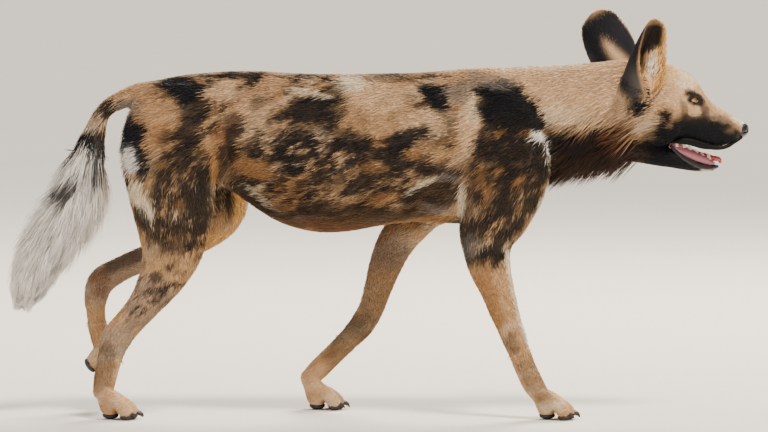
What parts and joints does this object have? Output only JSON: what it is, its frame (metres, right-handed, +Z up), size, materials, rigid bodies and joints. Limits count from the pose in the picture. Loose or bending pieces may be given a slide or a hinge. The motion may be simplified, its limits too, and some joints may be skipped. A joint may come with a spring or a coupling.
{
  "type": "african wild dog",
  "caption": "Still, life-size african wild dog walking with its mouth open, its patched coat on a lean body with round ears and a white brush on the tail.",
  "frame": {"origin": "on the floor, under the middle of the dog's bounding box", "axes": "+X the way the dog walks, +Y its left side, +Z up"},
  "size_m": [1.2868, 0.2512, 0.7036],
  "materials": {
    "coat": "short fur in tan, black and white patches",
    "tail_hair": "long white hair",
    "nose_skin": "moist, finely grained bare skin",
    "mouth_skin": "wet pink skin",
    "eye": "wet and clear over a brown amber iris",
    "tooth": "smooth enamel",
    "claw": "worn dark horn"
  },
  "bodies": {
    "root": {"head": "coat", "lower_jaw": "coat", "neck": "coat", "torso": "coat", "tail_dock": "coat", "right_ear": "coat", "left_ear": "coat", "right_upper_arm": "coat", "right_forearm": "coat", "right_fore_paw": "coat", "right_thigh": "coat", "right_shank": "coat", "right_hind_paw": "coat", "left_upper_arm": "coat", "left_forearm": "coat", "left_fore_paw": "coat", "left_thigh": "coat", "left_shank": "coat", "left_hind_paw": "coat", "tail_brush": "tail_hair", "nose": "nose_skin", "tongue": "mouth_skin", "right_eye": "eye", "left_eye": "eye"}
  },
  "joints": []
}
